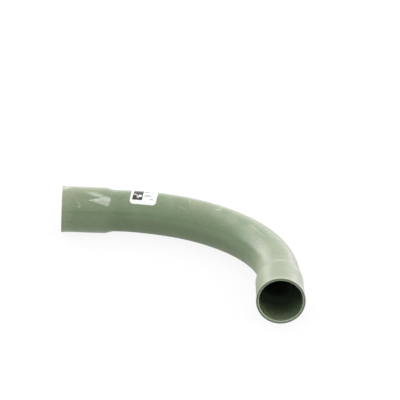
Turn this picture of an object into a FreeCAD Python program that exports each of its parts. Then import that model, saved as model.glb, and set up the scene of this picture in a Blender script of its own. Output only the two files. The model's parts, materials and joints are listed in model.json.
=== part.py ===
"""A 90 degree sweep elbow for 78 mm (3 inch) rigid PVC electrical conduit, with a belled socket at each end.

The elbow is one length of extruded PVC pipe, bent hot to a quarter circle. Each end is then expanded over a
mandrel into a socket that takes a plain conduit end, bonded with solvent cement. The conduit stops on the inner
taper of the shoulder. A self-adhesive label lies on the bend near socket A.

The tube's wall is divided where the bend begins and ends, into a straight socket, the bend and another straight
socket, so that each is a simple hollow solid. They share flat end faces and don't overlap.

Frame: the centreline lies in the plane z = 0. The origin is on the axis of socket A, at the socket's seat, where
its straight wall meets the shoulder. Socket A opens towards -X and socket B opens towards -Y. +Z is up when the
elbow lies on its side. Every length is in millimetres.
"""

import FreeCAD, Part  # FreeCAD has to be imported before Part
from FreeCAD import Placement, Rotation, Vector
from math import asin, cos, pi, radians, sin, tan
import os

# Pipe
PIPE_OD = 88.9
PIPE_WALL = 5.5
BEND_RADIUS = 330.0
BEND_ANGLE = 90.0
TANGENT = 12.0

# Belled socket
CONDUIT_CLEARANCE = 0.15
BELL_WALL = 4.6
SOCKET_DEPTH = 92.0
FLARE_RISE = 1.0
FLARE_LENGTH = 14.0
LEAD_IN = 1.6
RIM_EDGE_BREAK = 0.4

# Shoulder between bell and pipe: an arc, a cone and a counter-arc, given for the outer skin
SHOULDER_ANGLE = 16.0
SHOULDER_CONVEX = 14.0
SHOULDER_CONCAVE = 30.0

# Label
LABEL_LENGTH = 57.0
LABEL_WIDTH = 50.0
LABEL_CORNER = 8.5
LABEL_THICKNESS = 0.15
LABEL_FROM_BEND_START = 50.5
LABEL_TURN_FROM_TOP = 14.0

PIPE_R = PIPE_OD / 2
DUCT_R = PIPE_R - PIPE_WALL
SOCKET_R = PIPE_R + CONDUIT_CLEARANCE
BELL_R = SOCKET_R + BELL_WALL
RIM_R = BELL_R + FLARE_RISE


def shoulder_length(drop, first_arc, last_arc):
    """Axial length of an arc, a cone and a counter-arc that together step down by drop."""
    angle = radians(SHOULDER_ANGLE)
    arcs = first_arc + last_arc
    cone_drop = drop - arcs * (1 - cos(angle))
    return arcs * sin(angle) + cone_drop / tan(angle)


BEND_START = shoulder_length(BELL_R - PIPE_R, SHOULDER_CONVEX, SHOULDER_CONCAVE) + TANGENT
BEND_CENTRE = Vector(BEND_START, -BEND_RADIUS, 0)


def line(start, end):
    return Part.LineSegment(start, end).toShape()


def arc(start, middle, end):
    return Part.Arc(start, middle, end).toShape()


def shoulder_edges(big_r, small_r, first_arc, last_arc):
    """The three tangent edges of a shoulder, from the seat (x = 0) to where the pipe begins, and their ends."""
    angle = radians(SHOULDER_ANGLE)
    length = shoulder_length(big_r - small_r, first_arc, last_arc)

    def on_first(turn):
        return Vector(first_arc * sin(turn), big_r - first_arc * (1 - cos(turn)), 0)

    def on_last(turn):
        return Vector(length - last_arc * sin(turn), small_r + last_arc * (1 - cos(turn)), 0)

    edges = [
        arc(on_first(0), on_first(angle / 2), on_first(angle)),
        line(on_first(angle), on_last(angle)),
        arc(on_last(angle), on_last(angle / 2), on_last(0)),
    ]
    return edges, on_first(0), on_last(0)


def flare_edge():
    """The arc that lifts the bell's outer skin to the rim, tangent to the bell, and its ends."""
    radius = (FLARE_LENGTH**2 + FLARE_RISE**2) / (2 * FLARE_RISE)
    whole_turn = asin(FLARE_LENGTH / radius)
    start_x = -(SOCKET_DEPTH - RIM_EDGE_BREAK - FLARE_LENGTH)

    def on_flare(turn):
        return Vector(start_x - radius * sin(turn), BELL_R + radius * (1 - cos(turn)), 0)

    rim_end = on_flare(whole_turn)
    bell_end = on_flare(0)
    return arc(rim_end, on_flare(whole_turn / 2), bell_end), rim_end, bell_end


def make_socket_a():
    """Wall of socket A with its shoulder and tangent: its section, revolved about the socket's axis."""
    mouth_x = -SOCKET_DEPTH
    flare, flare_rim_end, flare_bell_end = flare_edge()
    outer, outer_seat, outer_pipe = shoulder_edges(BELL_R, PIPE_R, SHOULDER_CONVEX, SHOULDER_CONCAVE)
    inner, inner_seat, inner_pipe = shoulder_edges(
        SOCKET_R, DUCT_R, SHOULDER_CONVEX - BELL_WALL, SHOULDER_CONCAVE + PIPE_WALL
    )
    pipe_outer_end = Vector(BEND_START, PIPE_R, 0)
    pipe_inner_end = Vector(BEND_START, DUCT_R, 0)
    rim_outer = Vector(mouth_x, RIM_R - RIM_EDGE_BREAK, 0)
    rim_inner = Vector(mouth_x, SOCKET_R + LEAD_IN, 0)
    bore_end = Vector(mouth_x + LEAD_IN, SOCKET_R, 0)

    outer_skin = [
        line(rim_outer, flare_rim_end),
        flare,
        line(flare_bell_end, outer_seat),
        *outer,
        line(outer_pipe, pipe_outer_end),
    ]
    inner_skin = [
        line(pipe_inner_end, inner_pipe),
        *inner,
        line(inner_seat, bore_end),
        line(bore_end, rim_inner),
    ]
    outline = [*outer_skin, line(pipe_outer_end, pipe_inner_end), *inner_skin, line(rim_inner, rim_outer)]
    section = Part.Face(Part.Wire(Part.__sortEdges__(outline)))
    return section.revolve(Vector(0, 0, 0), Vector(1, 0, 0), 360)


def bend_shell(outer_r, inner_r):
    """The ring between two radii about the centreline, swept through the bend."""
    start = Vector(BEND_START, 0, 0)
    along = Vector(1, 0, 0)
    disc = Part.Face(Part.Wire(Part.makeCircle(outer_r, start, along)))
    hole = Part.Face(Part.Wire(Part.makeCircle(inner_r, start, along)))
    return disc.cut(hole).revolve(BEND_CENTRE, Vector(0, 0, -1), BEND_ANGLE)


def make_socket_b():
    """Socket A's wall, mirrored across the bend's 45 degree line."""
    across_bend = Vector(1, -1, 0)
    return make_socket_a().mirror(BEND_CENTRE, across_bend)


def make_bend():
    return bend_shell(PIPE_R, DUCT_R)


def rounded_rectangle(length, width, corner):
    """A face in the XY plane, centred on its origin."""
    inner_x = length / 2 - corner
    inner_y = width / 2 - corner
    diagonal = corner * cos(pi / 4)
    edges = []
    for sx, sy in ((1, 1), (-1, 1), (-1, -1), (1, -1)):
        centre = Vector(sx * inner_x, sy * inner_y, 0)
        on_side = centre + Vector(sx * corner, 0, 0)
        on_end = centre + Vector(0, sy * corner, 0)
        edges.append(arc(on_side, centre + Vector(sx * diagonal, sy * diagonal, 0), on_end))
    edges.append(line(Vector(inner_x, width / 2, 0), Vector(-inner_x, width / 2, 0)))
    edges.append(line(Vector(-length / 2, inner_y, 0), Vector(-length / 2, -inner_y, 0)))
    edges.append(line(Vector(-inner_x, -width / 2, 0), Vector(inner_x, -width / 2, 0)))
    edges.append(line(Vector(length / 2, -inner_y, 0), Vector(length / 2, inner_y, 0)))
    return Part.Face(Part.Wire(Part.__sortEdges__(edges)))


def make_label():
    """The label: a thin skin on the pipe's outside, cut to the label's outline seen square on."""
    skin = bend_shell(PIPE_R + LABEL_THICKNESS, PIPE_R)
    along_bend = LABEL_FROM_BEND_START / BEND_RADIUS
    outward = Vector(sin(along_bend), cos(along_bend), 0)
    along = Vector(cos(along_bend), -sin(along_bend), 0)
    turn = radians(LABEL_TURN_FROM_TOP)
    facing = Vector(0, 0, 1) * cos(turn) - outward * sin(turn)
    upward = facing.cross(along)

    # Seen square on, the wrapped width shows as its chord.
    half_wrap = LABEL_WIDTH / 2 / PIPE_R
    chord = 2 * PIPE_R * sin(half_wrap)
    outline = rounded_rectangle(LABEL_LENGTH, chord, LABEL_CORNER)
    outline.Placement = Placement(BEND_CENTRE + outward * BEND_RADIUS, Rotation(along, upward, facing, "ZXY"))
    return skin.common(outline.extrude(facing * (2 * PIPE_R)))


def only_solid(shape, name):
    """The one valid solid that a sub-part's shape holds."""
    assert len(shape.Solids) == 1, name
    solid = shape.Solids[0]
    assert solid.isValid(), name
    return solid


SUB_PARTS = {
    "socket_a": make_socket_a,
    "bend": make_bend,
    "socket_b": make_socket_b,
    "label": make_label,
}

os.makedirs("parts", exist_ok=True)
for node, make in SUB_PARTS.items():
    part = only_solid(make(), node)
    part.exportStep("parts/" + node + ".step")
    size = part.optimalBoundingBox()
    low = [round(v, 2) for v in (size.XMin, size.YMin, size.ZMin)]
    high = [round(v, 2) for v in (size.XMax, size.YMax, size.ZMax)]
    print(node, round(part.Volume), "mm3, from", low, "to", high)
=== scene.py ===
"""Looks for the 90 degree sweep elbow of rigid PVC electrical conduit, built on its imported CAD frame.

One continuous wall, with its slight irregularities, stands for the CAD tube's three solids, and a thin
printed film stands for the CAD label. Lengths are in metres in the row frame, except on the surface maps and
in the marks laid out on them, which are in millimetres.
"""

import json
from math import atan2, cos, pi, radians, sin, sqrt, tan
from types import SimpleNamespace

import bpy
import numpy as np
from mathutils import Matrix, Vector


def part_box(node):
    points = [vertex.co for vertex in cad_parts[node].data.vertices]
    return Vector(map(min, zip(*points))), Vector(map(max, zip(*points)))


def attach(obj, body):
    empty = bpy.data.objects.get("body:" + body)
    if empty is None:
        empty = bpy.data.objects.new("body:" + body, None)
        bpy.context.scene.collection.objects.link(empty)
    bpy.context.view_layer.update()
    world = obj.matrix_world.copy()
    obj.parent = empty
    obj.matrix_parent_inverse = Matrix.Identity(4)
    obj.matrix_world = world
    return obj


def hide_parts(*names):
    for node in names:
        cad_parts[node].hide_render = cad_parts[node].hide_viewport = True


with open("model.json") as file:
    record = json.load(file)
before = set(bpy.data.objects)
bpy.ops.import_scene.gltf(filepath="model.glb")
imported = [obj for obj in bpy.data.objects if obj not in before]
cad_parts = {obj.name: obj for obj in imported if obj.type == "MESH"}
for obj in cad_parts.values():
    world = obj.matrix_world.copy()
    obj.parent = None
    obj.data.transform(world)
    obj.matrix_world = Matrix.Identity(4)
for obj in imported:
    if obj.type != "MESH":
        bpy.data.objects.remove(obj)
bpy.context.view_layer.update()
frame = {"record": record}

MM = 0.001


# ---------------------------------------------------------------- sizes, read from the frame

def mount(name):
    return next(m for m in frame["record"]["mounts"] if m["name"] == name)


bend_low, bend_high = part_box("bend")
socket_low, socket_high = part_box("socket_a")

SOCKET_R = mount("socket_a")["dims"]["r_mm"] * MM
PIPE_R = bend_high.z
RIM_R = socket_high.z
SOCKET_DEPTH = -socket_low.x
BEND_START = bend_low.x
BEND_R = -bend_low.y
BEND_CENTRE = Vector((BEND_START, -BEND_R, 0))

# The rest of the wall's section, as in the CAD design
PIPE_WALL = 5.5 * MM
BELL_WALL = 4.6 * MM
FLARE_LENGTH = 14.0 * MM
LEAD_IN = 1.6 * MM
SHOULDER_ANGLE = radians(16)
SHOULDER_CONVEX = 14.0 * MM
SHOULDER_CONCAVE = 30.0 * MM

# In this wall only: the rounding of the rim's outer edge, a little more than the break in the CAD design, and
# the distance of the points beside a sharp edge, which keep the shading crisp there
RIM_EDGE = 0.5 * MM
EDGE_GAP = 0.12 * MM

DUCT_R = PIPE_R - PIPE_WALL
BELL_R = SOCKET_R + BELL_WALL
BEND_LENGTH = BEND_R * pi / 2
LEG_LENGTH = SOCKET_DEPTH + BEND_START
TUBE_LENGTH = 2 * LEG_LENGTH + BEND_LENGTH

# How finely the wall is divided around the tube, along it and over its rounded edges
AROUND = 192
STEP_OUTSIDE = 5.0 * MM
STEP_IN_BORE = 6.0 * MM
STEP_ON_FLARE = 1.4 * MM
RIM_STEPS = 5
SHOULDER_STEPS = 8

# The surface map runs along the tube and around it, in units of UV_UNIT metres
UV_NAME = "along_and_around"
UV_UNIT = 0.1

# The label's film, as in the CAD design: its outline, and the place of its middle along and around the tube
LABEL_LENGTH = 57.0 * MM
LABEL_WIDTH = 50.0 * MM
LABEL_CORNER = 8.5 * MM
LABEL_THICKNESS = 0.15 * MM
LABEL_AT = LEG_LENGTH + 50.5 * MM
LABEL_TURN = radians(90 + 14)

# In this film only: the height of its underside above the skin, and how finely it is divided
LABEL_UNDERSIDE = 0.02 * MM
LABEL_STEP = 1.5 * MM
LABEL_COLUMNS = 48
CORNER_STEPS = 10


# ---------------------------------------------------------------- the tube's wall

def station(s):
    """Centreline point at distance s from mouth A, and the direction from the bend's centre outwards."""
    into_bend = s - LEG_LENGTH
    if into_bend < 0:
        return Vector((s - SOCKET_DEPTH, 0, 0)), Vector((0, 1, 0))
    if into_bend <= BEND_LENGTH:
        turn = into_bend / BEND_R
        outward = Vector((sin(turn), cos(turn), 0))
        return BEND_CENTRE + outward * BEND_R, outward
    past_bend = into_bend - BEND_LENGTH
    return BEND_CENTRE + Vector((BEND_R, -past_bend, 0)), Vector((1, 0, 0))


def shoulder_profile(big_r, small_r, first_arc, last_arc):
    """(distance past the seat, radius) along an arc, a cone and a counter-arc."""
    arcs = first_arc + last_arc
    cone_drop = (big_r - small_r) - arcs * (1 - cos(SHOULDER_ANGLE))
    length = arcs * sin(SHOULDER_ANGLE) + cone_drop / tan(SHOULDER_ANGLE)
    turns = [SHOULDER_ANGLE * i / SHOULDER_STEPS for i in range(SHOULDER_STEPS + 1)]
    first = [(first_arc * sin(t), big_r - first_arc * (1 - cos(t))) for t in turns]
    last = [(length - last_arc * sin(t), small_r + last_arc * (1 - cos(t))) for t in reversed(turns)]
    return first + last


def spaced(start, stop, step):
    """Values from just after start to just before stop, evenly spaced by about step."""
    count = max(1, round((stop - start) / step))
    return [start + (stop - start) * i / count for i in range(1, count)]


def quarter_turn(steps):
    """Angles from 0 to a right angle."""
    return [pi / 2 * i / steps for i in range(steps + 1)]


def outer_leg():
    """(distance from the mouth, radius) of the outer skin of a leg, from the rim to the bend."""
    quarter = quarter_turn(RIM_STEPS)
    points = [(RIM_EDGE * (1 - sin(t)), RIM_R - RIM_EDGE * (1 - cos(t))) for t in reversed(quarter)]
    flare_end = RIM_EDGE + FLARE_LENGTH
    rise = RIM_R - BELL_R
    flare_arc = (FLARE_LENGTH**2 + rise**2) / (2 * rise)
    for s in spaced(RIM_EDGE, flare_end, STEP_ON_FLARE):
        points.append((s, BELL_R + flare_arc - sqrt(flare_arc**2 - (flare_end - s) ** 2)))
    points += [(s, BELL_R) for s in [flare_end] + spaced(flare_end, SOCKET_DEPTH, STEP_OUTSIDE)]
    shoulder = shoulder_profile(BELL_R, PIPE_R, SHOULDER_CONVEX, SHOULDER_CONCAVE)
    points += [(SOCKET_DEPTH + x, r) for x, r in shoulder]
    points += [(s, PIPE_R) for s in spaced(points[-1][0], LEG_LENGTH, STEP_OUTSIDE)]
    return points


def inner_leg():
    """(distance from the mouth, radius) of the inner skin of a leg, from the rim to the bend."""
    bevel = [0.0, EDGE_GAP, 0.5 * LEAD_IN, LEAD_IN - EDGE_GAP, LEAD_IN]
    points = [(s, SOCKET_R + LEAD_IN - s) for s in bevel] + [(LEAD_IN + EDGE_GAP, SOCKET_R)]
    points += [(s, SOCKET_R) for s in spaced(2 * LEAD_IN, SOCKET_DEPTH, STEP_IN_BORE)]
    shoulder = shoulder_profile(
        SOCKET_R, DUCT_R, SHOULDER_CONVEX - BELL_WALL, SHOULDER_CONCAVE + PIPE_WALL
    )
    points += [(SOCKET_DEPTH + x, r) for x, r in shoulder]
    points += [(s, DUCT_R) for s in spaced(points[-1][0], LEG_LENGTH, STEP_OUTSIDE)]
    return points


def whole_skin(leg, bend_r):
    """A skin's profile from mouth A, along the bend, to mouth B."""
    turned = [0.0, *spaced(0, BEND_LENGTH, STEP_OUTSIDE), BEND_LENGTH]
    bend = [(LEG_LENGTH + s, bend_r) for s in turned]
    return leg + bend + [(TUBE_LENGTH - s, r) for s, r in reversed(leg)]


# How far the skin stands off a true tube, and the lengths over which it does so
OVALITY = 1.0 * MM
RIPPLE = 0.10 * MM
RIPPLE_LENGTH = 37 * MM
SWAY = 0.10 * MM
SWAY_LENGTH = 143 * MM
BELL_OVAL = 0.16 * MM
BELL_LOBES = 0.08 * MM
LIP_OVAL = 0.18 * MM
LIP_LENGTH = 20 * MM
BEND_FADE = 60 * MM
BELL_FADE = 24 * MM


def ease(t):
    """0 below 0, 1 above 1, and smooth between."""
    t = min(max(t, 0.0), 1.0)
    return t * t * (3 - 2 * t)


def from_nearer_mouth(s):
    return min(s, TUBE_LENGTH - s)


def in_bend(s):
    """1 along the bend, fading to 0 towards its two ends."""
    return ease((s - LEG_LENGTH) / BEND_FADE) * ease((LEG_LENGTH + BEND_LENGTH - s) / BEND_FADE)


def in_bell(s):
    """1 in either bell, fading to 0 across the socket's seat."""
    return ease((SOCKET_DEPTH + BELL_FADE / 2 - from_nearer_mouth(s)) / BELL_FADE)


def unevenness(s, phi):
    """How far the skin stands off its true radius: a slightly oval, rippled bend, and uneven ends."""
    ovality = -OVALITY * cos(2 * phi) * in_bend(s)
    inner_side = max(0.0, -cos(phi)) ** 3
    ripple = RIPPLE * sin(2 * pi * s / RIPPLE_LENGTH) * inner_side * in_bend(s)
    sway = SWAY * sin(2 * pi * s / SWAY_LENGTH + 1.1) * cos(phi - 0.7)
    bell = (BELL_OVAL * cos(2 * phi + 0.9) + BELL_LOBES * cos(3 * phi - 0.4)) * in_bell(s)
    at_lip = ease(1 - from_nearer_mouth(s) / LIP_LENGTH)
    lip = LIP_OVAL * cos(2 * phi - 1.3 + s) * at_lip
    return ovality + ripple + sway + bell + lip


def wall_point(s, phi, radius):
    centre, outward = station(s)
    r = radius + unevenness(s, phi)
    return centre + outward * (r * cos(phi)) + Vector((0, 0, r * sin(phi)))


def new_object(name, verts, faces, uvs):
    """A smooth-shaded mesh object whose UV map, in decimetres, runs along the tube and around it."""
    mesh = bpy.data.meshes.new(name)
    mesh.from_pydata(verts, [], faces)
    mesh.polygons.foreach_set("use_smooth", [True] * len(faces))
    layer = mesh.uv_layers.new(name=UV_NAME)
    layer.data.foreach_set("uv", (np.array(uvs) / UV_UNIT).astype(np.float32).ravel())
    mesh.update()
    made = bpy.data.objects.new(name, mesh)
    bpy.context.scene.collection.objects.link(made)
    return made


def on_bevel(s):
    """Whether distance s lies on the bevel inside a mouth, clear of its two edges."""
    return EDGE_GAP / 2 < from_nearer_mouth(s) < LEAD_IN - EDGE_GAP / 2


def build_tube():
    """The wall as one closed mesh of quads: outer skin from A to B, rim B, inner skin back to A, rim A.

    The UV map's v is measured around the pipe's outer radius, on every skin.
    """
    outer = whole_skin(outer_leg(), PIPE_R)
    inner = whole_skin(inner_leg(), DUCT_R)
    face_outer = RIM_R - RIM_EDGE - EDGE_GAP
    face_inner = SOCKET_R + LEAD_IN + EDGE_GAP
    face = [face_outer, (face_outer + face_inner) / 2, face_inner]
    # (distance along, radius, 1 on the inner skin, 1 on the cut face and 0.5 on the bevel inside it)
    rings = [(s, r, 0.0, 0.0) for s, r in outer]
    rings += [(TUBE_LENGTH, r, 0.0, 1.0) for r in face]
    rings += [(s, r, 1.0, 0.5 if on_bevel(s) else 0.0) for s, r in reversed(inner)]
    rings += [(0.0, r, 0.0, 1.0) for r in reversed(face)]

    # The seam is underneath, so phi runs from straight down, round the outer side, to straight down again
    angles = [-pi / 2 + 2 * pi * i / AROUND for i in range(AROUND + 1)]
    verts = [wall_point(s, phi, r) for s, r, _, _ in rings for phi in angles[:-1]]
    faces, uvs = [], []
    for i, (s0, _, _, _) in enumerate(rings):
        k = (i + 1) % len(rings)
        s1 = rings[k][0]
        for j in range(AROUND):
            n = (j + 1) % AROUND
            faces.append((i * AROUND + j, i * AROUND + n, k * AROUND + n, k * AROUND + j))
            v0, v1 = angles[j] * PIPE_R, angles[j + 1] * PIPE_R
            uvs += [(s0, v0), (s0, v1), (s1, v1), (s1, v0)]
    tube = new_object("conduit_elbow", verts, faces, uvs)
    for name, column in (("inside", 2), ("rim", 3)):
        values = np.repeat([ring[column] for ring in rings], AROUND)
        mark = tube.data.attributes.new(name, "FLOAT", "POINT")
        mark.data.foreach_set("value", values.astype(np.float32))
    return tube


# ---------------------------------------------------------------- the label's film

def label_rows():
    """(distance across, half length) of the label's outline, from its lower edge to its upper edge."""
    straight = LABEL_WIDTH / 2 - LABEL_CORNER
    half = LABEL_LENGTH / 2 - LABEL_CORNER
    corner = [(LABEL_CORNER * cos(t), LABEL_CORNER * sin(t)) for t in quarter_turn(CORNER_STEPS)]
    lower = [(-straight - down, half + out) for down, out in corner]
    middle = [(b, LABEL_LENGTH / 2) for b in spaced(-straight, straight, LABEL_STEP)]
    upper = [(-b, a) for b, a in reversed(lower)]
    return lower + middle + upper


def label_point(a, b, height):
    """A point of the label, a along the tube and b around it from the middle, at a height above the skin."""
    phi = LABEL_TURN - b / PIPE_R
    stretch = BEND_R / (BEND_R + PIPE_R * cos(phi))
    return wall_point(LABEL_AT + a * stretch, phi, PIPE_R + height)


def build_label():
    """The film as a closed thin mesh, from its top almost to the skin, mapped from its middle."""
    columns = LABEL_COLUMNS
    rows = label_rows()
    sides = [-1 + 2 * i / columns for i in range(columns + 1)]
    across = len(sides)
    verts, places = [], []
    for height in (LABEL_THICKNESS, LABEL_UNDERSIDE):
        for b, half_length in rows:
            for side in sides:
                verts.append(label_point(side * half_length, b, height))
                places.append((side * half_length, b))
    lower = len(rows) * across
    faces = []
    for i in range(len(rows) - 1):
        for j in range(columns):
            low, high = i * across + j, (i + 1) * across + j
            faces.append((low, low + 1, high + 1, high))
            faces.append((lower + low, lower + high, lower + high + 1, lower + low + 1))
    last = (len(rows) - 1) * across
    border = [*range(columns), *(i * across + columns for i in range(len(rows) - 1))]
    border += [*range(last + columns, last, -1), *(i * across for i in range(len(rows) - 1, 0, -1))]
    for here, there in zip(border, border[1:] + border[:1]):
        faces.append((here, lower + here, lower + there, there))
    uvs = [places[v] for face in faces for v in face]
    return new_object("product_label", verts, faces, uvs)


# ---------------------------------------------------------------- node helpers

def set_input(tree, socket, value):
    """Links value to the socket if it is a socket itself, and otherwise sets it."""
    if isinstance(value, bpy.types.NodeSocket):
        tree.links.new(value, socket)
    elif value is not None:
        socket.default_value = value


def math(tree, operation, a, b=None, c=None, clamp=False):
    node = tree.nodes.new("ShaderNodeMath")
    node.operation = operation
    node.use_clamp = clamp
    for socket, value in zip(node.inputs, (a, b, c)):
        set_input(tree, socket, value)
    return node.outputs[0]


def chain(tree, operation, values):
    """The values joined by the operation, from the first to the last."""
    result = values[0]
    for value in values[1:]:
        result = math(tree, operation, result, value)
    return result


def product(tree, *values):
    return chain(tree, "MULTIPLY", values)


def total(tree, *values):
    return chain(tree, "ADD", values)


def most(tree, values):
    return chain(tree, "MAXIMUM", values)


def distance(tree, x, y):
    """Distance of (x, y) from the origin."""
    squares = math(tree, "MULTIPLY_ADD", x, x, math(tree, "MULTIPLY", y, y))
    return math(tree, "SQRT", squares)


def fade(tree, value, start, end, low=0.0, high=1.0):
    """low where value has not come to start, high where it is past end, and smooth between."""
    node = tree.nodes.new("ShaderNodeMapRange")
    node.interpolation_type = "SMOOTHSTEP"
    settings = {"Value": value, "From Min": start, "From Max": end, "To Min": low, "To Max": high}
    for name, setting in settings.items():
        set_input(tree, node.inputs[name], setting)
    return node.outputs[0]


def noise(tree, vector, scale, detail=4.0, roughness=0.55):
    """Noise from 0 to 1 whose features are about 1 / scale of the vector's unit."""
    node = tree.nodes.new("ShaderNodeTexNoise")
    settings = {"Vector": vector, "Scale": scale, "Detail": detail, "Roughness": roughness}
    for name, setting in settings.items():
        set_input(tree, node.inputs[name], setting)
    return node.outputs[0]


def stretched(tree, vector, scale):
    node = tree.nodes.new("ShaderNodeMapping")
    set_input(tree, node.inputs["Vector"], vector)
    node.inputs["Scale"].default_value = scale
    return node.outputs[0]


def xyz(tree, vector):
    node = tree.nodes.new("ShaderNodeSeparateXYZ")
    tree.links.new(vector, node.inputs[0])
    return node.outputs["X"], node.outputs["Y"], node.outputs["Z"]


def colours(tree, factor, first, second):
    """The first colour where factor is 0, and the second where it is 1."""
    node = tree.nodes.new("ShaderNodeMix")
    node.data_type = "RGBA"
    set_input(tree, node.inputs["Factor"], factor)
    set_input(tree, node.inputs["A"], (*first, 1) if isinstance(first, tuple) else first)
    set_input(tree, node.inputs["B"], (*second, 1) if isinstance(second, tuple) else second)
    return node.outputs["Result"]


def painted(tree, colour, paint, *shares):
    """The colour with paint over it, as dense as the product of the shares."""
    return colours(tree, product(tree, *shares), colour, paint)


def span(start, end):
    """Length and direction of the line from start to end."""
    run = end[0] - start[0]
    rise = end[1] - start[1]
    return sqrt(run**2 + rise**2), atan2(rise, run)


def seen_from(tree, place, origin, turn, scale=(1, 1, 1)):
    """The place in a frame that stands at origin, turned and with axes of the given scale."""
    node = tree.nodes.new("ShaderNodeMapping")
    node.vector_type = "TEXTURE"
    set_input(tree, node.inputs["Vector"], place)
    node.inputs["Location"].default_value = (*origin, 0)
    node.inputs["Rotation"].default_value = (0, 0, turn)
    node.inputs["Scale"].default_value = scale
    return node.outputs[0]


def stroke(tree, place, start, end, first_width, last_width, feather):
    """1 on a tapering stroke from start to end, fading to 0 over feather of its half width."""
    length, direction = span(start, end)
    along, across, _ = xyz(tree, seen_from(tree, place, start, direction))
    nearest = math(tree, "MINIMUM", math(tree, "MAXIMUM", along, 0.0), length)
    beyond = math(tree, "SUBTRACT", along, nearest)
    slope = (last_width - first_width) / 2 / length
    half_width = math(tree, "MULTIPLY_ADD", nearest, slope, first_width / 2)
    share = math(tree, "DIVIDE", distance(tree, beyond, across), half_width)
    return fade(tree, share, 1 + feather, 1 - feather)


def blot(tree, place, start, end, width, feather=0.5):
    """1 on an ellipse that reaches from start to end, fading to 0 over feather of its half width."""
    length, direction = span(start, end)
    middle = ((start[0] + end[0]) / 2, (start[1] + end[1]) / 2)
    half_sizes = ((length + width) / 2, width / 2, 1)
    share = tree.nodes.new("ShaderNodeVectorMath")
    share.operation = "LENGTH"
    tree.links.new(seen_from(tree, place, middle, direction, half_sizes), share.inputs[0])
    return fade(tree, share.outputs["Value"], 1 + feather, 1 - feather)


def bump(tree, shader, height, strength, depth):
    """Gives the shader a bump from a height of 0 to 1 that stands for depth."""
    node = tree.nodes.new("ShaderNodeBump")
    node.inputs["Strength"].default_value = strength
    node.inputs["Distance"].default_value = depth
    tree.links.new(height, node.inputs["Height"])
    tree.links.new(node.outputs[0], shader.inputs["Normal"])


def new_material(name):
    material = bpy.data.materials.new(name)
    material.use_nodes = True
    tree = material.node_tree
    return material, tree, tree.nodes["Principled BSDF"]


def surface_place(tree):
    """The surface's UV place in millimetres: x along the tube and y around it."""
    uv = tree.nodes.new("ShaderNodeUVMap")
    uv.uv_map = UV_NAME
    return stretched(tree, uv.outputs[0], (UV_UNIT / MM, UV_UNIT / MM, 1))


def attribute(tree, name):
    node = tree.nodes.new("ShaderNodeAttribute")
    node.attribute_name = name
    return node.outputs["Fac"]


# ---------------------------------------------------------------- rigid PVC

GREEN = (0.122, 0.184, 0.093)
GREEN_DEEP = (0.104, 0.163, 0.080)
# Painted shade at shoulder A
SHOULDER_A_SHADE = (0.092, 0.143, 0.070)
OLIVE = (0.131, 0.172, 0.094)
# Painted shade on the underside
UNDERSIDE_SHADE = (0.091, 0.118, 0.057)
# Painted shade deeper in the bore
BORE_SHADE = (0.066, 0.093, 0.060)
# Pale dust, also used as painted light on faces turned up
DUST_AND_LIGHT = (0.39, 0.385, 0.275)
GRIME = (0.39, 0.375, 0.35)
HAZE = (0.40, 0.44, 0.31)
CHALK = (0.56, 0.59, 0.52)
SPECK = (0.020, 0.026, 0.020)
# Painted shade on the cut end faces, and a painted highlight on the bevels inside them
CUT_FACE_SHADE = (0.085, 0.117, 0.078)
BEVEL_HIGHLIGHT = (0.33, 0.385, 0.30)
PVC_IOR = 1.52

# Where a zone sets in or dies away, in millimetres along the tube from mouth A
BELL_A = (118, 96)
TOWARDS_BELL_B = (420, 580)
SHOULDER_A_START = (84, 106)
SHOULDER_A_END = (165, 130)
# The painted shade on the underside eases from here towards bell B
LESS_SHADE_TOWARDS_B = (440, 560)
GRIME_START = (500, 625)
DULL_START = (420, 520)
DULL_AT_BELL_B = (560, 660)

# The same, in millimetres from the nearer mouth
DUST_AND_LIGHT_IN_MOUTH = (60, 0)
SHADE_DEEPER_IN_BORE = (10, 105)
PALE_AT_MOUTH = (32, 6)

# The same, in millimetres around the tube from the bend's outer side
DULL_PAST_TOP = (60, 80)

# The same, as the upward part of the direction in which the skin faces: 1 on top, 0 where it is upright and
# -1 underneath
FACES_UP = (0.35, 1.0)
FACES_DOWN = (0.22, -0.20)
DULL_FACING = (0.62, 0.25)
DULL_FACING_AT_BELL_B = (0.95, 0.55)
LESS_DULL_BELOW = (-0.30, 0.15)

# How far the grain of the plastic and the streaks of the rubs are drawn out along the tube
DRAWN_OUT = (0.006, 0.55, 1)
TORN_OUT = (0.10, 0.55, 1)

# Share of its half width over which the edge of a mark fades
PATCH_FEATHER = 0.75
RUB_FEATHER = 0.35
SPECK_FEATHER = 0.6

# How dense each zone's colour is
OLIVE_SHARE = 0.6
SHOULDER_A_SHADE_SHARE = 0.75
DRAWN_SHARE = 0.03
GRAIN_SHARE = 0.10
DUST_AND_LIGHT_SHARE_OUTSIDE = 0.27
DUST_AND_LIGHT_SHARE_INSIDE = 0.28
BORE_SHADE_SHARE = 0.95
MOUTH_SHARE = 0.22
UNDERSIDE_SHADE_SHARE = 0.64
LESS_AT_BELLS = 0.7
HAZE_SHARE = 0.44
SPECK_SHARE = 0.75
CUT_FACE_SHADE_SHARE = 0.85

# How much rougher each zone is than the bare plastic
SAWN_ROUGHER = 0.30
UNDERSIDE_ROUGHER = 0.32
DULL_ROUGHER = 0.28
RUBBED_ROUGHER = 0.25
DUSTY_ROUGHER = 0.30


def around(s_mm, phi_degrees):
    """A place on the surface map, from distance along the tube and angle up from the bend's outer side."""
    return (s_mm, radians(phi_degrees) * PIPE_R / MM)


# (start, end, first width, last width) of the grey patch on bell B's outer side
GRIME_PATCH = (around(545, 44), around(772, 28), 36, 50)

# (start, end, width) of the thin pale patch on bell B's other side
HAZE_PATCH = (around(600, 154), around(772, 150), 40)

# (start, end, first width, last width, strength) of the two halves of the big rub
RUBS = [
    (around(59, 133.5), around(98, 129.0), 2.0, 12.0, 0.66),
    (around(64, 134.5), around(96, 140.0), 2.0, 11.0, 0.48),
]

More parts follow.
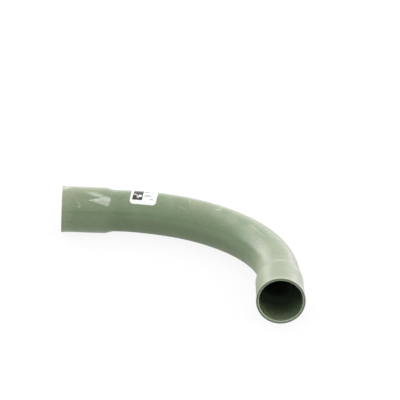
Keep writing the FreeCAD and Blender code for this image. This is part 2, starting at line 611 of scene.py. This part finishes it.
# (start, end, width, strength) of each smaller pale mark
MARKS = [
    (around(56, 110.0), around(84, 118.0), 9.0, 0.40),
    (around(64, 115.5), around(84, 120.5), 5.0, 0.66),
    (around(84, 120.0), around(97, 127.0), 7.0, 0.38),
    (around(88, 142.0), around(95, 143.0), 5.0, 0.36),
    (around(59.5, 133.5), around(62, 133.7), 2.6, 0.75),
    (around(80, 119.0), around(86, 123.0), 5.0, 0.66),
    (around(352, 105.0), around(364, 99.0), 4.0, 0.50),
    (around(360, 99.0), around(355, 85.0), 4.0, 0.42),
    (around(34, 150.0), around(39, 153.0), 2.6, 0.34),
    (around(3, 98.0), around(14, 84.0), 7.0, 0.62),
    (around(273, 127.0), around(281, 131.0), 3.0, 0.20),
    (around(508, 127.5), around(516, 129.5), 3.0, 0.20),
    (around(559, 127.5), around(566, 129.5), 3.0, 0.20),
    (around(458, 103.0), around(512, 106.6), 1.5, 0.60),
    (around(495, 106.4), around(538, 103.4), 1.5, 0.60),
    (around(33, 139.0), around(41, 148.5), 1.6, 0.45),
    (around(265, 124.0), around(271, 132.0), 1.8, 0.32),
    (around(271, 131.0), around(267, 142.0), 1.3, 0.20),
    (around(285, 108.5), around(281, 94.0), 2.0, 0.34),
    (around(303, 118.0), around(304, 123.0), 2.0, 0.20),
    (around(131, 97.0), around(133, 83.0), 2.0, 0.34),
    (around(330, 64), around(352, 72), 0.9, 0.40),
    (around(520, 20), around(560, 8), 0.9, 0.40),
    (around(150, 30), around(190, 24), 1.0, 0.40),
    (around(250, -40), around(310, -46), 1.1, 0.40),
    (around(640, 200), around(668, 192), 0.9, 0.30),
]

# (place, size) of each dark speck
SPOTS = [
    (around(21, 192), 3.4),
    (around(732, 51), 2.2),
    (around(727, 57), 1.6),
    (around(690, 44), 1.8),
    (around(652, 50), 1.5),
    (around(472, 161), 1.8),
    (around(300, 35), 1.4),
    (around(420, -20), 1.6),
]


def read_skin(tree):
    """What the plastic's colour and gloss depend on at each point of the wall."""
    place = surface_place(tree)
    room = tree.nodes.new("ShaderNodeTexCoord").outputs["Object"]
    inside = attribute(tree, "inside")
    along, around_tube, _ = xyz(tree, place)
    _, _, upward = xyz(tree, tree.nodes.new("ShaderNodeNewGeometry").outputs["Normal"])
    from_mouth_b = math(tree, "SUBTRACT", TUBE_LENGTH / MM, along)
    return SimpleNamespace(
        place=place,
        room=room,
        inside=inside,
        outside=math(tree, "SUBTRACT", 1.0, inside, clamp=True),
        along=along,
        around=around_tube,
        upward=upward,
        from_mouth=math(tree, "MINIMUM", along, from_mouth_b),
        bell_a=fade(tree, along, *BELL_A),
        mottle=noise(tree, room, 22.0, detail=5.0),
        grain=noise(tree, room, 160.0, detail=5.0, roughness=0.7),
    )


def plastic_colour(tree, skin):
    """Mottled green, faintly drawn out along the tube, more olive at the bells, and deeper with painted shade
    at shoulder A.
    """
    patches = noise(tree, skin.room, 6.5, detail=2.0)
    drawn = noise(tree, stretched(tree, skin.place, DRAWN_OUT), 1.0, detail=5.0, roughness=0.65)
    colour = colours(tree, fade(tree, skin.mottle, 0.30, 0.72), GREEN_DEEP, GREEN)
    towards_bell_b = fade(tree, skin.along, *TOWARDS_BELL_B)
    olive = most(tree, [skin.bell_a, towards_bell_b, fade(tree, patches, 0.50, 0.72)])
    colour = painted(tree, colour, OLIVE, olive, OLIVE_SHARE)
    shoulder_start = fade(tree, skin.along, *SHOULDER_A_START)
    shoulder_end = fade(tree, skin.along, *SHOULDER_A_END)
    # Painted shade over shoulder A
    colour = painted(tree, colour, SHOULDER_A_SHADE, shoulder_start, shoulder_end, SHOULDER_A_SHADE_SHARE)
    colour = painted(tree, colour, DUST_AND_LIGHT, fade(tree, drawn, 0.35, 0.75), DRAWN_SHARE)
    return painted(tree, colour, DUST_AND_LIGHT, fade(tree, skin.grain, 0.45, 0.70), GRAIN_SHARE)


def add_dust_light_and_shade(tree, skin, colour):
    """Patchy dust and painted light where the skin faces up, painted shade in the bore further in, and a
    paler band round each mouth.
    """
    facing_up = fade(tree, skin.upward, *FACES_UP)
    patchy = fade(tree, noise(tree, skin.room, 34.0, detail=5.0, roughness=0.6), 0.15, 0.80)
    in_mouth = product(tree, skin.inside, fade(tree, skin.from_mouth, *DUST_AND_LIGHT_IN_MOUTH), DUST_AND_LIGHT_SHARE_INSIDE)
    share = math(tree, "MULTIPLY_ADD", skin.outside, DUST_AND_LIGHT_SHARE_OUTSIDE, in_mouth)
    # Dust and painted light on faces turned up, and inside each mouth
    dust_and_light = product(tree, facing_up, patchy, share)
    dark = fade(tree, skin.from_mouth, *SHADE_DEEPER_IN_BORE)
    # Painted shade in the bore, deeper further in
    colour = painted(tree, colour, BORE_SHADE, skin.inside, dark, BORE_SHADE_SHARE)
    colour = painted(tree, colour, DUST_AND_LIGHT, dust_and_light)
    band = fade(tree, skin.from_mouth, *PALE_AT_MOUTH)
    grainy = fade(tree, skin.grain, 0.35, 0.65, 0.5, 1.0)
    return painted(tree, colour, DUST_AND_LIGHT, band, grainy, skin.outside, MOUTH_SHARE), dust_and_light


def add_underside_shade(tree, skin, colour):
    """Painted shade darkening the underside, less at the two bells."""
    facing_down = fade(tree, skin.upward, *FACES_DOWN)
    patchy = fade(tree, skin.mottle, 0.25, 0.65, 0.7, 1.0)
    bells = math(tree, "MAXIMUM", skin.bell_a, fade(tree, skin.along, *LESS_SHADE_TOWARDS_B))
    between_bells = math(tree, "MULTIPLY_ADD", bells, -LESS_AT_BELLS, 1.0)
    # Painted shade where the skin faces down
    underside = product(tree, facing_down, patchy, skin.outside, between_bells)
    return painted(tree, colour, UNDERSIDE_SHADE, underside, UNDERSIDE_SHADE_SHARE), underside


def add_patches(tree, skin, colour):
    """Bell B's soft patches, a grey one on its outer side and a thin pale one on the other."""
    grey = stroke(tree, skin.place, *GRIME_PATCH, PATCH_FEATHER)
    uneven = noise(tree, skin.room, 45.0, detail=6.0, roughness=0.7)
    uneven = fade(tree, uneven, 0.30, 0.62, 0.20, 1.0)
    strength = fade(tree, skin.along, *GRIME_START, 0.10, 0.74)
    colour = painted(tree, colour, GRIME, grey, uneven, skin.outside, strength)
    pale = blot(tree, skin.place, *HAZE_PATCH, PATCH_FEATHER)
    mottled = fade(tree, skin.mottle, 0.2, 0.6, 0.6, 1.0)
    return painted(tree, colour, HAZE, pale, mottled, skin.outside, HAZE_SHARE)


def add_rubs(tree, skin, colour):
    """Pale rubs and scratches, torn into streaks along the tube."""
    streaks = noise(tree, stretched(tree, skin.place, TORN_OUT), 1.0, detail=6.0, roughness=0.7)
    torn = fade(tree, streaks, 0.34, 0.60, 0.35, 1.0)
    pale = []
    for *shape, strength in RUBS:
        pale.append(product(tree, stroke(tree, skin.place, *shape, RUB_FEATHER), strength))
    for *shape, strength in MARKS:
        pale.append(product(tree, blot(tree, skin.place, *shape), strength))
    rubbed = product(tree, most(tree, pale), torn, skin.outside)
    return painted(tree, colour, CHALK, rubbed), rubbed


def add_specks(tree, skin, colour):
    specks = [blot(tree, skin.place, at, at, size, SPECK_FEATHER) for at, size in SPOTS]
    return painted(tree, colour, SPECK, most(tree, specks), skin.outside, SPECK_SHARE)


def add_rim(tree, skin, colour):
    """The sawn end face, dull and darkened by painted shade, and the bevel inside it, paled by an uneven
    painted highlight.
    """
    rim = attribute(tree, "rim")
    sawn = fade(tree, rim, 0.6, 0.9)
    bevel = product(tree, fade(tree, rim, 0.2, 0.45), math(tree, "SUBTRACT", 1.0, sawn))
    # Painted shade on the cut face, and a painted highlight on the bevel
    colour = painted(tree, colour, CUT_FACE_SHADE, sawn, CUT_FACE_SHADE_SHARE)
    patchy_highlight = fade(tree, noise(tree, skin.room, 120.0, detail=4.0), 0.35, 0.60, 0.55, 1.0)
    return painted(tree, colour, BEVEL_HIGHLIGHT, bevel, patchy_highlight), sawn


def dull_inner_side(tree, skin):
    """1 on the duller stretch of the inner side towards bell B, which reaches higher up the bell itself."""
    at_bell = fade(tree, skin.along, *DULL_AT_BELL_B)
    limits = [
        math(tree, "MULTIPLY_ADD", at_bell, there - elsewhere, elsewhere)
        for elsewhere, there in zip(DULL_FACING, DULL_FACING_AT_BELL_B)
    ]
    below_gloss = fade(tree, skin.upward, *limits)
    less_underneath = fade(tree, skin.upward, *LESS_DULL_BELOW, 0.4, 1.0)
    towards_b = fade(tree, skin.along, *DULL_START)
    past_top = fade(tree, skin.around, *DULL_PAST_TOP)
    return product(tree, below_gloss, less_underneath, towards_b, past_top, skin.outside)


def make_pvc():
    """Grey-green PVC, dusty with painted light on top, painted shade underneath, in the bores, at shoulder A
    and on the cut faces, a painted highlight on the bevels, rubbed, scratched and specked.
    """
    material, tree, shader = new_material("pvc_conduit")
    skin = read_skin(tree)
    colour = plastic_colour(tree, skin)
    colour, dust_and_light = add_dust_light_and_shade(tree, skin, colour)
    colour, underside = add_underside_shade(tree, skin, colour)
    colour = add_patches(tree, skin, colour)
    colour, rubbed = add_rubs(tree, skin, colour)
    colour = add_specks(tree, skin, colour)
    colour, sawn = add_rim(tree, skin, colour)
    tree.links.new(colour, shader.inputs["Base Color"])

    roughness = fade(tree, noise(tree, skin.room, 55.0, detail=5.0), 0.3, 0.7, 0.20, 0.27)
    for zone, rougher in (
        (sawn, SAWN_ROUGHER),
        (underside, UNDERSIDE_ROUGHER),
        (dull_inner_side(tree, skin), DULL_ROUGHER),
        (rubbed, RUBBED_ROUGHER),
        (dust_and_light, DUSTY_ROUGHER),
    ):
        roughness = math(tree, "MULTIPLY_ADD", zone, rougher, roughness, clamp=True)
    tree.links.new(roughness, shader.inputs["Roughness"])

    bump(tree, shader, noise(tree, skin.room, 45.0, detail=1.0), strength=0.05, depth=0.25 * MM)
    shader.inputs["IOR"].default_value = PVC_IOR
    return material


# ---------------------------------------------------------------- label film and print

FILM = (0.70, 0.71, 0.70)
FILM_WORN = (0.60, 0.60, 0.58)
INK = (0.012, 0.011, 0.012)
INK_GREY = (0.06, 0.06, 0.065)
INK_PALE = (0.50, 0.50, 0.50)
WORN_SHARE = 0.20
PRINT_SHARE = 0.9
PRINT_EDGE = 0.15

# (left, right, bottom, top) in millimetres from the label's middle
BLOCK = (-24.0, -2.5, -15.0, 19.0)
PANE = (-11.2, -4.9, -6.6, -0.4)
BARS = (-0.5, 22.0, 18.0, 22.5)
TEXT_LINES = [
    (-1.0, 13.0, 9.0, 13.8),
    (0.9, 13.4, -0.9, 1.3),
    (0.9, 19.0, -4.5, -2.6),
]

# (middle, radius, width) of each arch
ARCHES = [((18.4, 7.6), 3.2, 2.2), ((17.6, -13.2), 3.0, 1.4)]

# Inner corner and size of the pictogram
PICTOGRAM = ((-21.5, -8.0), 13.0)


def depth_within(tree, value, low, high):
    """How far the value is from the nearer of low and high, and negative outside them."""
    from_middle = math(tree, "ABSOLUTE", math(tree, "SUBTRACT", value, (low + high) / 2))
    return math(tree, "SUBTRACT", (high - low) / 2, from_middle)


def rectangle(tree, x, y, left, right, bottom, top):
    depth_x = depth_within(tree, x, left, right)
    depth_y = depth_within(tree, y, bottom, top)
    return fade(tree, math(tree, "MINIMUM", depth_x, depth_y), -PRINT_EDGE / 2, PRINT_EDGE / 2)


def ring(tree, x, y, radius, clear, solid):
    """1 within solid of the circle's line, and 0 further than clear from it."""
    from_line = math(tree, "ABSOLUTE", math(tree, "SUBTRACT", distance(tree, x, y), radius))
    return fade(tree, from_line, clear, solid)


def measured_from(tree, x, y, point):
    return math(tree, "SUBTRACT", x, point[0]), math(tree, "SUBTRACT", y, point[1])


def arch(tree, x, y, middle, radius, width):
    """1 on the upper half of a ring."""
    x, y = measured_from(tree, x, y, middle)
    line = ring(tree, x, y, radius, width * 0.6, width * 0.4)
    return product(tree, line, fade(tree, y, -0.1, 0.1))


def pictogram(tree, x, y, corner, size):
    """A plain quarter bend with two wider ends, drawn from its inner corner."""
    x, y = measured_from(tree, x, y, corner)
    pipe = ring(tree, x, y, size * 0.70, size * 0.14, size * 0.11)
    quadrant = math(tree, "MINIMUM", fade(tree, x, 0.0, 0.2), fade(tree, y, 0.0, 0.2))
    end_width = (0.53 * size, 0.87 * size)
    end_depth = (-0.15 * size, 0.15 * size)
    foot = rectangle(tree, x, y, *end_width, *end_depth)
    mouth = rectangle(tree, x, y, *end_depth, *end_width)
    return most(tree, [product(tree, pipe, quadrant), foot, mouth])


def make_label():
    """White film with a dark block, a plain pictogram, broken grey lines for words and a row of bars."""
    material, tree, shader = new_material("label_film")
    place = surface_place(tree)
    x, y, _ = xyz(tree, place)

    worn = fade(tree, noise(tree, place, 0.16, detail=6.0, roughness=0.7), 0.50, 0.80)
    colour = colours(tree, product(tree, worn, WORN_SHARE), FILM, FILM_WORN)

    letters = noise(tree, stretched(tree, place, (1.1, 0.7, 1)), 1.0, detail=1.0)
    letters = fade(tree, letters, 0.36, 0.46, 0.45, 1.0)
    lines = most(tree, [rectangle(tree, x, y, *line) for line in TEXT_LINES])
    arches = [arch(tree, x, y, *one) for one in ARCHES]
    grey = most(tree, [product(tree, lines, letters), *arches])
    colour = painted(tree, colour, INK_GREY, grey, PRINT_SHARE)

    bars = noise(tree, stretched(tree, place, (1.3, 0.0, 1)), 1.0, detail=2.0)
    colour = painted(tree, colour, INK, rectangle(tree, x, y, *BARS), fade(tree, bars, 0.49, 0.51))

    thin = fade(tree, noise(tree, place, 1.1, detail=4.0, roughness=0.7), 0.25, 0.45, 0.85, 1.0)
    colour = painted(tree, colour, INK, rectangle(tree, x, y, *BLOCK), thin)
    colour = painted(tree, colour, INK_PALE, pictogram(tree, x, y, *PICTOGRAM), PRINT_SHARE)
    colour = painted(tree, colour, FILM, rectangle(tree, x, y, *PANE))
    tree.links.new(colour, shader.inputs["Base Color"])

    roughness = fade(tree, noise(tree, place, 0.5, detail=3.0), 0.3, 0.7, 0.34, 0.48)
    tree.links.new(roughness, shader.inputs["Roughness"])
    bump(tree, shader, noise(tree, place, 0.09, detail=3.0), strength=0.10, depth=0.2 * MM)
    return material


# ---------------------------------------------------------------- the pieces

tube = build_tube()
tube.data.materials.append(make_pvc())
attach(tube, "root")
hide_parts("socket_a", "bend", "socket_b")

label = build_label()
label.data.materials.append(make_label())
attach(label, "root")
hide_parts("label")


# ---------------------------------------------------------------- floor

FLOOR_HALF = 60.0
FLOOR_GAP = 0.05 * MM
FLOOR_GREY = 0.07
FLOOR_GLOW = 0.89

# Only skin this far past the lowest point counts for the floor's slope
PAST_RIMS = 60 * MM


def resting_plane(points):
    """The plane that the elbow lies on, under both rims and up to the bend's underside.

    The plane is level along the line that joins the mouths, so it is a line seen along that: the place of the
    rims, the height there, and the slope up towards the bend's crest.
    """
    places = np.array(points)
    across = (places[:, 0] - BEND_CENTRE.x + places[:, 1] - BEND_CENTRE.y) / sqrt(2)
    heights = places[:, 2]
    foot = np.argmin(heights)
    beyond = across > across[foot] + PAST_RIMS
    slope = float(np.min((heights[beyond] - heights[foot]) / (across[beyond] - across[foot])))
    return float(across[foot]), float(heights[foot]) - FLOOR_GAP, slope


def make_floor():
    foot, height, slope = resting_plane([v.co for v in tube.data.vertices])
    crest = Vector((1, 1, slope * sqrt(2))).normalized() * FLOOR_HALF
    side = Vector((1, -1, 0)).normalized() * FLOOR_HALF
    middle = Vector((BEND_CENTRE.x, BEND_CENTRE.y, height - slope * foot))
    corners = [middle - crest - side, middle - crest + side, middle + crest + side, middle + crest - side]
    mesh = bpy.data.meshes.new("studio_floor")
    mesh.from_pydata(corners, [], [(0, 1, 2, 3)])
    made = bpy.data.objects.new("studio_floor", mesh)
    bpy.context.scene.collection.objects.link(made)
    material, _, shader = new_material("studio_floor")
    shader.inputs["Base Color"].default_value = (FLOOR_GREY, FLOOR_GREY, FLOOR_GREY, 1)
    shader.inputs["Emission Color"].default_value = (1.0, 1.0, 1.0, 1)
    shader.inputs["Emission Strength"].default_value = FLOOR_GLOW
    shader.inputs["Roughness"].default_value = 0.9
    shader.inputs["Specular IOR Level"].default_value = 0.1
    mesh.materials.append(material)


make_floor()


# ---------------------------------------------------------------- light

# Each wall of the light tent: the two parts of its direction, its strength in the low band and above it, and
# the band's upper edge, as the sine of its elevation
TENT = {
    "left": (-1, 0, 0.70, 1.2, 0.15),
    "right": (1, 0, 2.2, 2.1, 0.20),
    "front": (0, -1, 0.4, 1.4, 0.23),
    "back": (0, 1, 2.0, 1.8, 0.20),
}
BAND_WIDTH = 0.05

# The tent's top sets in over TOP_START, as the sine of elevation
TOP_START = (0.72, 0.92)
TOP_STRENGTH = 1.48

# The soft box stands at the back left, and its light fades out sideways as the squared cosine falls over
# SOFT_BOX_EDGE. Its strength goes from the first to the second over SOFT_BOX_RISE, as the sine of elevation.
SOFT_BOX_DIRECTION = (-sqrt(0.5), sqrt(0.5))
SOFT_BOX_EDGE = (0.7, 1.0)
SOFT_BOX_RISE = (0.44, 0.64)
SOFT_BOX_STRENGTHS = (1.75, 1.1)

# Strength of the plain white backdrop that the camera sees
BACKDROP = 1.05


def facing_share(tree, x, y, side, level):
    """1 towards the side, 0 at right angles to it and beyond, as the squared cosine of the angle from it."""
    towards = total(tree, product(tree, x, side[0]), product(tree, y, side[1]))
    towards = math(tree, "MAXIMUM", towards, 0.0)
    return math(tree, "DIVIDE", product(tree, towards, towards), level)


def make_world():
    """A soft tent of light, strong on the right and at the back, and dim low on the left and in front."""
    world = bpy.data.worlds.new("studio")
    world.use_nodes = True
    bpy.context.scene.world = world
    tree = world.node_tree
    background = tree.nodes["Background"]
    x, y, up = xyz(tree, tree.nodes.new("ShaderNodeTexCoord").outputs["Generated"])
    level = math(tree, "ADD", product(tree, x, x), math(tree, "MULTIPLY_ADD", y, y, 1e-6))
    parts = []
    for side_x, side_y, low, high, edge in TENT.values():
        share = facing_share(tree, x, y, (side_x, side_y), level)
        parts.append(product(tree, share, fade(tree, up, edge, edge + BAND_WIDTH, low, high)))
    share = facing_share(tree, x, y, SOFT_BOX_DIRECTION, level)
    box = fade(tree, up, *SOFT_BOX_RISE, *SOFT_BOX_STRENGTHS)
    parts.append(product(tree, fade(tree, share, *SOFT_BOX_EDGE), box))
    top = fade(tree, up, *TOP_START)
    sides = product(tree, total(tree, *parts), math(tree, "SUBTRACT", 1.0, top))
    tent = total(tree, sides, product(tree, top, TOP_STRENGTH))
    seen = tree.nodes.new("ShaderNodeLightPath").outputs["Is Camera Ray"]
    lit = product(tree, tent, math(tree, "SUBTRACT", 1.0, seen))
    strength = math(tree, "MULTIPLY_ADD", seen, BACKDROP, lit)
    tree.links.new(strength, background.inputs["Strength"])
    background.inputs["Color"].default_value = (1.0, 1.0, 1.0, 1)


make_world()


# ---------------------------------------------------------------- camera

# A long lens far off: how far it stands round from the front and up from level, its tilt and distance, the
# point that it faces, and its focal length and sensor in millimetres
CAMERA_AZIMUTH = radians(-1.3735)
CAMERA_ELEVATION = radians(21.902)
CAMERA_ROLL = radians(2.389)
CAMERA_DISTANCE = 7.2128
CAMERA_AIM = BEND_CENTRE + Vector((0.17066, 0.40722, 0))
CAMERA_LENS = 298.845
SENSOR_WIDTH = 36
CLIP_END = 200


def make_camera():
    data = bpy.data.cameras.new("camera")
    data.sensor_width = SENSOR_WIDTH
    data.lens = CAMERA_LENS
    data.clip_end = CLIP_END
    camera = bpy.data.objects.new("camera", data)
    bpy.context.scene.collection.objects.link(camera)
    back = Vector((
        sin(CAMERA_AZIMUTH) * cos(CAMERA_ELEVATION),
        -cos(CAMERA_AZIMUTH) * cos(CAMERA_ELEVATION),
        sin(CAMERA_ELEVATION),
    ))
    level_right = (-back).cross(Vector((0, 0, 1))).normalized()
    level_up = level_right.cross(-back)
    right = level_right * cos(CAMERA_ROLL) + level_up * sin(CAMERA_ROLL)
    up = level_up * cos(CAMERA_ROLL) - level_right * sin(CAMERA_ROLL)
    turn = Matrix((right, up, back)).transposed().to_4x4()
    camera.matrix_world = Matrix.Translation(CAMERA_AIM + back * CAMERA_DISTANCE) @ turn
    bpy.context.scene.camera = camera


make_camera()
bpy.context.scene.view_settings.view_transform = "Standard"
